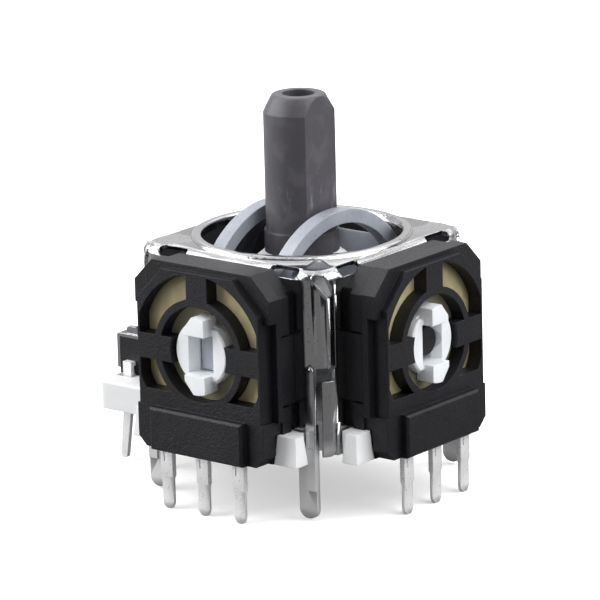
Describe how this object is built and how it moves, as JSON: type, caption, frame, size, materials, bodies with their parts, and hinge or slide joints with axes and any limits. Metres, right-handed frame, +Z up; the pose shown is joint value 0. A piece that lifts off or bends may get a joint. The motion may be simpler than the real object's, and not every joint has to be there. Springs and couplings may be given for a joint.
{
  "type": "controller analog stick",
  "caption": "Two-axis thumb-stick module with two rotary potentiometers and a push switch, for soldering to a circuit board.",
  "frame": {"origin": "on the stick's axis, in the plane of the circuit board's face that the base sits on", "axes": "+Z up along the stick at rest; potentiometer A faces -Y, potentiometer B faces +X, the push switch is on the -X side"},
  "size_m": [0.0205, 0.0161, 0.0216],
  "materials": {
    "nickel_plated_steel": "bright nickel plate on stamped sheet",
    "white_moulding": "moulded",
    "white_acetal": "moulded, slightly glossy",
    "translucent_acetal": "moulded, natural and slightly translucent",
    "dark_grey_moulding": "moulded, satin",
    "black_moulding": "moulded, fine matt texture",
    "bare_laminate": "bare phenolic paper laminate",
    "wiper_bronze": "rolled strip",
    "spring_wire": "drawn wire",
    "tinned_terminal": "matt tin plate"
  },
  "bodies": {
    "module_body": {"frame": "nickel_plated_steel", "base": "white_moulding", "switch_body": "black_moulding", "switch_cover": "nickel_plated_steel", "switch_dome": "spring_wire", "switch_terminal_1": "tinned_terminal", "switch_terminal_2": "tinned_terminal", "switch_terminal_3": "tinned_terminal", "switch_terminal_4": "tinned_terminal", "pot_a_cover": "black_moulding", "pot_a_case": "black_moulding", "pot_a_board": "bare_laminate", "pot_a_terminal_1": "tinned_terminal", "pot_a_terminal_2": "tinned_terminal", "pot_a_terminal_3": "tinned_terminal", "pot_b_cover": "black_moulding", "pot_b_case": "black_moulding", "pot_b_board": "bare_laminate", "pot_b_terminal_1": "tinned_terminal", "pot_b_terminal_2": "tinned_terminal", "pot_b_terminal_3": "tinned_terminal"},
    "upper_yoke": {"upper_yoke": "translucent_acetal", "pot_a_rotor": "white_acetal", "pot_a_wiper": "wiper_bronze"},
    "rotor_b": {"pot_b_rotor": "white_acetal", "pot_b_wiper": "wiper_bronze"},
    "lower_yoke": {"lower_yoke": "black_moulding"},
    "stick": {"stick": "dark_grey_moulding", "stick_pivot": "white_acetal", "return_spring": "spring_wire", "spring_foot": "white_acetal"},
    "switch_plunger": {"switch_plunger": "black_moulding"}
  },
  "joints": [
    {"name": "upper_yoke_turn", "type": "hinge", "parent": "module_body", "child": "upper_yoke", "pos_m": [0, 0, 0.00565], "axis": [0, 1, 0], "range_deg": [-21, 21]},
    {"name": "lower_yoke_turn", "type": "hinge", "parent": "module_body", "child": "rotor_b", "pos_m": [0, 0, 0.00565], "axis": [1, 0, 0], "range_deg": [-20, 20], "stiffness_Nm_per_rad": 0.01},
    {"name": "stick_press", "type": "hinge", "parent": "rotor_b", "child": "lower_yoke", "pos_m": [0.00728, 0, 0.00565], "axis": [0, -1, 0], "range_deg": [0, 1.1], "stiffness_Nm_per_rad": 0.5, "springref_deg": -1.15},
    {"name": "stick_tilt", "type": "hinge", "parent": "lower_yoke", "child": "stick", "pos_m": [0, 0, 0.00565], "axis": [0, 1, 0], "range_deg": [-20, 20], "stiffness_Nm_per_rad": 0.01},
    {"name": "plunger_slide", "type": "slide", "parent": "module_body", "child": "switch_plunger", "axis": [0, 0, -1], "range_m": [0, 0.00032]}
  ],
  "couplings": [
    {"joint": "upper_yoke_turn", "follows": "stick_tilt", "ratio": 1.03},
    {"joint": "plunger_slide", "follows": "stick_press", "m_per_rad": 0.016075}
  ]
}
